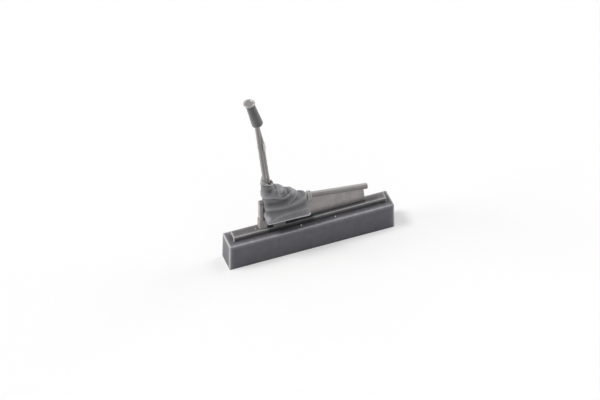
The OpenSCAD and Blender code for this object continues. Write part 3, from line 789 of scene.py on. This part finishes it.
def make_tube():
    """Tube with its plug and the two rings; the yoke and the pin in the boot only get their resin."""
    end = tube_place(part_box("torque_tube")[1].x / MM) - TUBE_END_SHIFT
    outer = TUBE_D / 2
    bore = TUBE_BORE / 2
    corners = [
        (bore, TUBE_START + BORE_L), (bore, TUBE_START), (outer, TUBE_START),
        (outer, end), (bore, end), (bore, end - BORE_L),
    ]
    tube = lathe("torque_tube_round", TUBE_FRAME, rounded(corners, TUBE_ROUND), TUBE_RESIN)
    # Paints light along the tube's top and shade on its sides
    paint_tube_light(tube)
    finish_piece(tube, "tube", "tube_resin", "torque_tube")
    face = end - PLUG_INSET
    corners = [(0, face - PLUG_L), (bore, face - PLUG_L), (bore, face), (0, face)]
    plug = lathe("tube_plug_round", TUBE_FRAME, rounded(corners, PLUG_ROUND), TUBE_RESIN)
    finish_piece(plug, "tube", "tube_resin", "tube_plug")
    first = tube_place(RING_X)
    make_ring("front", first)
    make_ring("rear", first + RING_W + RING_GAP)
    for node in ("pivot_yoke", "pivot_pin"):
        dress(node, TUBE_RESIN)


# Boot

# Rings of the boot's plain shape, from hem to neck: front and rear end as (x, z), half width, and squareness
BOOT_RINGS = (
    ((-5.94, 6.31), (-0.37, 6.25), 1.61, 18.0),
    ((-5.99, 6.37), (-0.32, 6.31), 1.66, 18.0),
    ((-6.08, 6.62), (-0.40, 6.58), 1.50, 12.0),
    ((-6.14, 6.95), (-0.48, 6.95), 1.28, 8.0),
    ((-6.13, 7.30), (-0.51, 7.32), 1.07, 7.0),
    ((-6.03, 7.68), (-0.47, 7.70), 0.97, 5.0),
    ((-6.06, 8.15), (-0.38, 8.25), 1.03, 3.6),
    ((-6.13, 8.60), (-0.55, 8.62), 0.90, 3.0),
    ((-6.14, 9.00), (-1.15, 8.68), 0.90, 2.8),
    ((-6.12, 9.40), (-1.62, 9.24), 0.88, 2.6),
    ((-6.13, 9.65), (-2.20, 9.80), 0.88, 2.5),
    ((-6.25, 9.85), (-2.88, 9.59), 0.87, 2.4),
    ((-6.31, 10.15), (-3.10, 10.02), 0.95, 2.3),
    ((-6.33, 10.60), (-3.42, 10.62), 0.83, 2.2),
    ((-6.31, 11.00), (-4.10, 10.94), 0.74, 2.1),
    ((-6.31, 11.45), (-4.65, 11.06), 0.64, 2.0),
    ((-6.36, 11.99), (-4.91, 11.55), 0.57, 2.0),
)

# Folds on the boot's sides: height, negative for a crease, half width, and their line as points (x, z). The
# height also paints highlight along a fold and shade along a crease
NECK_ROLL = (0.042, 0.17, (
    (-6.20, 9.98), (-5.68, 10.20), (-4.95, 10.08), (-4.29, 9.80), (-3.77, 9.58), (-3.40, 9.60), (-3.08, 9.76),
    (-2.94, 10.01), (-3.02, 10.35)))
NECK_CREASE = (-0.045, 0.21, (
    (-6.20, 9.66), (-5.68, 9.86), (-4.94, 9.70), (-4.46, 9.48), (-4.03, 9.24), (-3.50, 9.14)))
POUCH_CREASE = (-0.04, 0.1, ((-4.52, 10.95), (-4.55, 10.75), (-4.58, 10.40)))
POUCH_RIM = (0.04, 0.1, ((-4.24, 11.10), (-4.30, 10.80), (-4.32, 10.40), (-4.10, 10.05)))
KNEE_RIDGE = (0.06, 0.1, (
    (-1.55, 9.45), (-1.75, 9.39), (-1.99, 9.20), (-2.35, 8.87), (-2.67, 8.66), (-2.98, 8.50)))
KNEE_HOLLOW = (-0.085, 0.4, (
    (-3.28, 9.02), (-3.55, 8.92), (-4.03, 8.86), (-5.06, 8.91), (-5.42, 8.94)))
SLEEVE_HOLLOW = (-0.04, 0.14, ((-1.95, 8.84), (-2.30, 8.68), (-2.76, 8.48)))
WAIST_RIDGE = (0.04, 0.13, (
    (-5.77, 8.14), (-5.00, 8.16), (-3.95, 8.06), (-2.89, 8.13), (-2.35, 8.23), (-1.82, 8.37),
    (-1.27, 8.46), (-0.46, 8.48)))
WAIST_HOLLOW = (-0.03, 0.2, (
    (-6.02, 7.70), (-4.98, 7.69), (-3.81, 7.56), (-2.86, 7.50), (-1.80, 7.65), (-1.27, 7.73), (-0.5, 7.75)))
HEM_SWELL = (0.04, 0.12, (
    (-0.50, 7.00), (-1.10, 7.03), (-2.28, 7.05), (-2.98, 7.03), (-3.71, 6.99), (-4.79, 6.82), (-5.39, 6.59)))
BOOT_FOLDS = (
    NECK_ROLL, NECK_CREASE, POUCH_CREASE, POUCH_RIM, KNEE_RIDGE, KNEE_HOLLOW, SLEEVE_HOLLOW, WAIST_RIDGE,
    WAIST_HOLLOW, HEM_SWELL,
)
# Bulges and dents: height, negative for a dent, middle as (x, z), and half length and half height. The height
# also paints highlight on a bulge and shade in a dent
BOOT_DENTS = (
    (0.08, (-3.85, 10.75), (0.35, 0.25)),
    (0.09, (-4.45, 11.12), (0.28, 0.2)),
    (0.06, (-2.98, 10.0), (0.22, 0.28)),
    (-0.05, (-2.72, 9.36), (0.28, 0.25)),
    (-0.08, (-3.60, 10.18), (0.3, 0.15)),
    (-0.11, (-5.42, 11.08), (0.32, 0.28)),
    (0.03, (-6.15, 10.50), (0.22, 0.5)),
    (0.07, (-2.30, 9.85), (0.25, 0.25)),
    (0.12, (-5.72, 6.95), (0.24, 0.3)),
    (0.05, (-0.4, 6.28), (1.6, 0.14)),
    (-0.01, (-1.15, 8.68), (0.35, 0.18)),
    (-0.03, (-0.8, 7.9), (0.5, 0.4)),
)
# How far the folds on the boot's far side lag behind those on its near side
FAR_SHIFT = 0.12
BOOT_SIDES = 288
BOOT_STEPS = 7
# How strongly a millimetre of fold, and of standing out from the surroundings, paints highlight on the boot's
# ridges and shade in its hollows
FOLD_SHADE = 5.5
CREST_SHADE = 1.5
# Rounds of smoothing that give the surroundings, and the deepest hollow that counts
CREST_PASSES = 120
HOLLOW_LIMIT = 0.06
# Strength of the painted highlight on ridges, as a share of the painted shade in valleys
RIDGE_SHARE = 0.45
# Rows of the grid that get the painted highlight along the hem's lower edge
HEM_EDGE = 10
# Least length that a normal is divided by
TINY = 1e-12


def boot_ring(front, rear, half_width, square):
    """Points of one ring: a rounded oblong in the plane of its two ends."""
    turn = 2 * np.pi * (np.arange(BOOT_SIDES) + 0.5) / BOOT_SIDES
    c = np.cos(turn)
    s = np.sin(turn)
    reach = (np.abs(c) ** square + np.abs(s) ** square) ** (-1 / square)
    middle = (np.array(front) + np.array(rear)) / 2
    half = (np.array(rear) - np.array(front)) / 2
    x = middle[0] + half[0] * reach * c
    y = half_width * reach * s
    z = middle[1] + half[1] * reach * c
    return np.stack([x, y, z], 1)


def grid_normals(grid):
    """Outward normals of a grid of rings."""
    round_ring = np.roll(grid, -1, 1) - np.roll(grid, 1, 1)
    up = np.gradient(grid, axis=0)
    normal = np.cross(round_ring, up)
    return normal / np.maximum(np.linalg.norm(normal, axis=2, keepdims=True), TINY)


def line_distance(places, line):
    """Distance of places in the side view from a smooth line through the given points."""
    nearest = np.full(places.shape[:2], np.inf)
    path = on_curve([np.array(point) for point in line], PATH_STEPS)
    for a, b in zip(path, path[1:]):
        step = b - a
        share = np.clip((places - a) @ step / (step @ step), 0, 1)
        nearest = np.minimum(nearest, np.linalg.norm(places - a - share[..., None] * step, axis=2))
    return nearest


def fold_height(grid):
    """How far the folds and dents raise each point of the boot's plain shape."""
    places = grid[..., [0, 2]].copy()
    places[..., 0] += FAR_SHIFT * np.clip(grid[..., 1], 0, 1)
    rise = np.zeros(grid.shape[:2])
    for height, width, line in BOOT_FOLDS:
        rise += height * np.exp(-(line_distance(places, line) / width) ** 2)
    for height, middle, size in BOOT_DENTS:
        rise += height * np.exp(-(((places - middle) / size) ** 2).sum(2))
    return rise


def crests(grid):
    """How far each point of a grid stands out from its surroundings, in the grid's units."""
    smooth = grid.copy()
    for _ in range(CREST_PASSES):
        rows = np.concatenate([smooth[:1], smooth, smooth[-1:]])
        smooth = (smooth * 2 + rows[:-2] + rows[2:] + np.roll(smooth, 1, 1) + np.roll(smooth, -1, 1)) / 6
    return ((grid - smooth) * grid_normals(grid)).sum(2)


def boot_shade(grid, rise):
    """Painted shading at each point of the boot's grid: highlight on ridges, bulges and the hem's lower edge,
    shade in hollows and dents.
    """
    shade = rise * FOLD_SHADE + np.maximum(crests(grid), -HOLLOW_LIMIT) * CREST_SHADE
    shade = np.clip(PLAIN + np.where(shade > 0, RIDGE_SHARE * shade, shade), 0, 1)
    shade[:HEM_EDGE] = 1
    return shade


def web_slit():
    """Prism that clears the web as the boot swings, through the boot's rear wall."""
    axis_z = PIVOT.z / MM - (SLEEVE_X - PIVOT.x / MM) * TUBE_SLOPE
    top_w = WEB_T / 2 + SWING_GAP
    foot_w = top_w + (axis_z - SLIT_FOOT) * math.tan(math.radians(ROLL_ROOM))
    section = [(-top_w, axis_z), (top_w, axis_z), (foot_w, SLIT_FOOT), (-foot_w, SLIT_FOOT)]
    ends = (SLEEVE_X - SLIT_REACH, SLEEVE_X + SLIT_REACH)
    points = [Vector((x, y, z)) * MM for x in ends for y, z in section]
    faces = [(0, 1, 2, 3), (7, 6, 5, 4), *((k, k + 4, (k + 1) % 4 + 4, (k + 1) % 4) for k in range(4))]
    return new_piece("web_slit", points, faces, BOOT_RESIN)


def tube_hole(name, start, end, radius):
    """Round cutter along the axis of the tube."""
    return lathe(name, TUBE_FRAME, [(0, start), (radius, start), (radius, end), (0, end)], BOOT_RESIN)


def cut_away(piece, cutters):
    """Takes the cutters' room out of a piece for good."""
    for cutter in cutters:
        hole = piece.modifiers.new(cutter.name, "BOOLEAN")
        hole.operation = "DIFFERENCE"
        hole.object = cutter
        hole.solver = "MANIFOLD"
    graph = bpy.context.evaluated_depsgraph_get()
    mesh = bpy.data.meshes.new_from_object(piece.evaluated_get(graph))
    piece.modifiers.clear()
    piece.data = mesh
    for cutter in cutters:
        bpy.data.objects.remove(cutter)


def shade_by(piece, points, shades):
    """Gives each point of a piece the painted shading of the nearest of some points."""
    tree = KDTree(len(points))
    for i, point in enumerate(points):
        tree.insert(point, i)
    tree.balance()
    write_painted_shading(piece, [shades[tree.find(vertex.co)[1]] for vertex in piece.data.vertices])


def make_boot():
    """Gathered skin with folds, open at its hem and neck and round the tube, the journal and the web."""
    plain = np.array(on_curve([boot_ring(*ring) for ring in BOOT_RINGS], BOOT_STEPS))
    rise = fold_height(plain)
    grid = plain + grid_normals(plain) * rise[..., None]
    rows, columns = grid.shape[:2]
    points = (grid * MM).reshape(-1, 3)
    piece = new_piece("boot_skin", points, loft_faces(rows, columns), BOOT_RESIN)
    wall = piece.modifiers.new("wall", "SOLIDIFY")
    wall.thickness = BOOT_WALL * MM
    wall.offset = -1
    sleeve_start = tube_place(SLEEVE_X) - SLEEVE_L
    journal_start = tube_place(JOURNAL_HOLE_X)
    cut_away(piece, [
        web_slit(),
        tube_hole("sleeve_bore", sleeve_start, tube_place(RING_X), TUBE_D / 2 + BOOT_GAP),
        tube_hole("journal_hole", journal_start, JOURNAL_HOLE_END, JOURNAL_D / 2 + BOOT_GAP),
    ])
    # Paints highlight on the boot's ridges and shade in its hollows
    shade_by(piece, points, boot_shade(grid, rise).ravel())
    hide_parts("boot", "boot_hem")
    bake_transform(piece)


# Stick

# How finely the shaft, the lead and the grip are divided
SHAFT_ROWS = 40
LEAD_ROWS = 26
TURN_STEPS = 12
GRIP_ROUND_STEPS = 10
GRIP_ROWS = 12
# Change of the painted shading in a millimetre to the right, across the shaft, the lead and the connector:
# painted light on the shaft's left side and on the lead's side next to the shaft, painted shade on the
# connector's side next to the shaft
SHAFT_FALL = -1.8
LEAD_FALL = -3
CONNECTOR_RISE = 4
# Painted shading in the middle of the connector, lighter than plain
CONNECTOR_SHADE = 0.8
# Width of the painted highlight on the cap's edge, in widths of its rim
RIM_HIGHLIGHT_W = 1.8


def shaft_r(s):
    """Radius of the shaft at a place along the stick."""
    share = (s - SHAFT_START) / (GRIP_START - SHAFT_START)
    return (SHAFT_FOOT_D + (SHAFT_TOP_D - SHAFT_FOOT_D) * share) / 2


def shade_across(piece, middle, level, slope):
    """Gives a piece on the stick painted shading that changes by slope in each millimetre to the right of its
    middle, so that one side is painted lighter than the other."""
    to_stick = STICK_FRAME.inverted()
    write_painted_shading(piece, [
        level + slope * ((to_stick @ vertex.co).x / MM - middle)
        for vertex in piece.data.vertices
    ])


def make_stick():
    """Tapered shaft; its bush and foot in the boot only get their resin."""
    top = GRIP_START + SHAFT_SOCKET
    side = [(shaft_r(s), s) for s in np.linspace(SHAFT_START, GRIP_START, SHAFT_ROWS)]
    profile = [(0, SHAFT_START), *side, (SHAFT_TOP_D / 2, top), (0, top)]
    shaft = lathe("stick_shaft_round", STICK_FRAME, profile, STICK_RESIN, sides=48)
    # Paints light on the shaft's left side
    shade_across(shaft, 0, PLAIN, SHAFT_FALL)
    finish_piece(shaft, "stick", "stick_resin", "stick_shaft")
    for node in ("pivot_bush", "stick_foot"):
        dress(node, STICK_RESIN)


def lead_t(s):
    """Distance of the lead's middle from the shaft's, where it lies on the shaft."""
    return shaft_r(s) + LEAD_D / 2 + LEAD_GAP


def bow(s):
    """How far the lead stands off the shaft just above the boot's cuff."""
    return LEAD_BOW * math.exp(-((s - BOW_S) / BOW_SPREAD) ** 2)


def wound(share):
    """Place of the upper lead, at a share of its way from the connector to the grip."""
    start = CONNECTOR_TOP + LEAD_STRAIGHT
    end = GRIP_START - LEAD_TAIL
    s = start + (end - start) * share
    turn = math.radians(LEAD_TURN * share * (2 - share))
    return lead_t(s) * math.cos(turn), lead_t(s) * math.sin(turn), s


def make_lead():
    """Lead on the right of the shaft, below and above the connector."""
    lower = [(lead_t(s) + bow(s), 0, s) for s in np.linspace(NUT_S, LEAD_END, LEAD_ROWS)]
    upper = [(lead_t(CONNECTOR_TOP), 0, CONNECTOR_TOP)]
    upper.extend(wound(k / TURN_STEPS) for k in range(TURN_STEPS + 1))
    upper.append((*upper[-1][:2], GRIP_START + LEAD_INTO_GRIP))
    middle = lead_t((CONNECTOR_S + CONNECTOR_TOP) / 2)
    for part, points in (("lower", lower), ("upper", upper)):
        piece = cable(f"lead_{part}", STICK_FRAME, points, LEAD_D, LEAD_RESIN)
        # Paints light on the lead's side next to the shaft, which the shaft shades
        shade_across(piece, middle, PLAIN, LEAD_FALL)
        finish_piece(piece, "stick", "stick_resin", f"cable_{part}")


def make_connector():
    """Connector in the lead with its flange and nut, and the band that holds it."""
    connector_t = shaft_r((CONNECTOR_S + CONNECTOR_TOP) / 2) + BAND_T / 2 + CONNECTOR_D / 2
    place = STICK_FRAME @ moved(connector_t, 0)
    body_r = CONNECTOR_D / 2
    flange_r = FLANGE_D / 2
    flange_top = CONNECTOR_S + FLANGE_L
    corners = [
        (0, CONNECTOR_S), (flange_r, CONNECTOR_S), (flange_r, flange_top),
        (body_r, flange_top), (body_r, CONNECTOR_TOP), (0, CONNECTOR_TOP),
    ]
    body = lathe("lead_connector", place, rounded(corners, CONNECTOR_ROUND), PLUG_RESIN, sides=32)
    # Paints shade on the connector's and the nut's side next to the shaft, and light on their far side
    shade_across(body, connector_t, CONNECTOR_SHADE, CONNECTOR_RISE)
    finish_piece(body, "stick", "stick_resin", "cable_connector")
    corners = [(0, NUT_S), (NUT_D / 2, NUT_S), (NUT_D / 2, CONNECTOR_S), (0, CONNECTOR_S)]
    nut = lathe("lead_nut", place, rounded(corners, NUT_ROUND), PLUG_RESIN, sides=6)
    shade_across(nut, connector_t, CONNECTOR_SHADE, CONNECTOR_RISE)
    finish_piece(nut, "stick", "stick_resin", "connector_nut")
    dress("connector_band", STICK_RESIN)


def make_grip():
    """Grip with a rounded lower edge, trimmed by the slanted foot of the cap."""
    low = GRIP_LOW_D / 2
    high = GRIP_TOP_D / 2
    top = GRIP_L + GRIP_SPARE
    arc = [
        (low - GRIP_ROUND * (1 - math.cos(a)), GRIP_ROUND * (1 + math.sin(a)))
        for a in np.linspace(-math.pi / 2, 0, GRIP_ROUND_STEPS)
    ]
    side = [
        (low + (high - low) * k / GRIP_ROWS, GRIP_ROUND + (GRIP_L - GRIP_ROUND) * k / GRIP_ROWS)
        for k in range(1, GRIP_ROWS + 1)
    ]
    grip = lathe("hand_grip", GRIP_FRAME, [(0, 0), *arc, *side, (high, top), (0, top)], GRIP_RESIN)
    to_cap = CAP_FRAME.inverted()
    for vertex in grip.data.vertices:
        place = to_cap @ vertex.co
        place.z = min(place.z, GRIP_INTO_CAP * MM)
        vertex.co = CAP_FRAME @ place
    finish_piece(grip, "stick", "grip_resin", "grip")


def make_cap():
    """Dished cap with a painted highlight on its rim."""
    r = CAP_D / 2
    floor_h = CAP_H - CAP_DISH
    corners = [
        (0, 0), (GRIP_TOP_D / 2, 0), (r, CAP_FOOT_H), (r, CAP_H), (r - CAP_RIM, CAP_H),
        (r - 2 * CAP_RIM, floor_h), (0, floor_h),
    ]
    cap = lathe("grip_cap_dished", CAP_FRAME, rounded(corners, CAP_ROUND), CAP_RESIN)
    cap.data.materials.append(CAP_RIM_HIGHLIGHT_RESIN)
    to_cap = CAP_FRAME.inverted()
    for face in cap.data.polygons:
        place = to_cap @ face.center
        face.material_index = int(place.xy.length > (r - RIM_HIGHLIGHT_W * CAP_RIM) * MM)
    finish_piece(cap, "stick", "grip_resin", "grip_cap")
    # The screws are painted near-white: glints on the cap's rim
    dress("cap_screws", PIP_GLINT_RESIN)


# Cuff

CUFF_STEPS = 180
# Section of the cuff's roll, in degrees from its outermost point
CUFF_ARC = [math.radians(a) for a in range(-150, 151, 15)]
# Notch with its two lips, flap, backing and tongue: height, place round the stick, and spread in degrees
CUFF_LOBES = (
    (-0.22, 285, 14), (0.14, 252, 14), (0.1, 315, 12), (0.3, 35, 34), (0.5, 80, 32), (1.5, 172, 36),
)
# Bulge of the cuff towards the front
CUFF_BULGE = (0.12, 180, 50)
# Part of the cuff behind the lead that gets painted light, where the stick shades it
CUFF_PALE = (1, 30, 65)
# Waves of the rolled edge, and gathers that make it thicker and thinner: height, number and start
CUFF_WAVES = ((0.06, 5, 0), (0.05, 11, 1))
CUFF_GATHERS = (0.3, 9, 0.6)
# How much painted light a millimetre of the flap gets, and the painted shade of the flange round the shaft
# with the painted light on it behind the lead
CUFF_FLAP_SHADE = 2
CUFF_FLANGE_SHADE = 0.4
CUFF_FLANGE_PALE = 0.6


def waves(turn, *kinds):
    """Sum of waves round the cuff; each has its height, number and start."""
    return sum(height * math.cos(number * turn + start) for height, number, start in kinds)


def cuff_section(degrees):
    """Points of the cuff at an angle round the stick, each with its painted shading: the roll, which rises
    along the stick and is painted lighter on its upper side, and the flange, which closes in on the shaft."""
    slant = math.radians(CUFF_SLANT)
    stick_up = Vector((-math.sin(slant), 0, math.cos(slant)))
    hole_l = (SHAFT_FOOT_D + LEAD_D + LEAD_GAP) / 2 / math.cos(slant) + BOOT_GAP
    hole_w = SHAFT_FOOT_D / 2 + 2 * BOOT_GAP
    roll = CUFF_ROLL / 2
    turn = math.radians(degrees)
    rise = waves(turn, *CUFF_WAVES) + lobes(degrees, *CUFF_LOBES)
    swell = 1 + waves(turn, CUFF_GATHERS)
    bulge = lobes(degrees, CUFF_BULGE)
    pale = lobes(degrees, CUFF_PALE)
    made = []
    for a in CUFF_ARC:
        up = roll * math.sin(a)
        lift = max(0, rise * math.sin(a))
        out = roll * swell * (math.cos(a) - 1) - CUFF_LEAN * lift + bulge
        rim = Vector(((CUFF_L / 2 + out) * math.cos(turn), (CUFF_W / 2 + out) * math.sin(turn), up))
        made.append((rim + stick_up * rise * max(0, math.sin(a)), PLAIN + up + CUFF_FLAP_SHADE * lift * pale))
    for up in (roll / 2, -roll / 4):
        inner = Vector((hole_l * math.cos(turn), hole_w * math.sin(turn), up))
        made.append((inner, CUFF_FLANGE_SHADE + CUFF_FLANGE_PALE * pale))
    return made


def make_cuff():
    """Rolled edge of the boot's neck: gathered in waves, notched towards the viewer, with a flap behind
    the lead."""
    sections = [cuff_section(360 * i / CUFF_STEPS) for i in range(CUFF_STEPS)]
    points = [CUFF_FRAME @ (point * MM) for section in sections for point, _ in section]
    faces = loft_faces(CUFF_STEPS, len(sections[0]), closed_rows=True)
    piece = new_piece("neck_cuff_rolled", points, faces, CUFF_RESIN)
    write_painted_shading(piece, [shade for section in sections for _, shade in section])
    finish_piece(piece, "stick", "boot_resin", "neck_cuff")


scene.view_settings.view_transform = "Standard"
make_stage()
make_light()
make_camera()
make_base()
make_pips()
make_tube()
make_boot()
make_stick()
make_lead()
make_connector()
make_grip()
make_cap()
make_cuff()
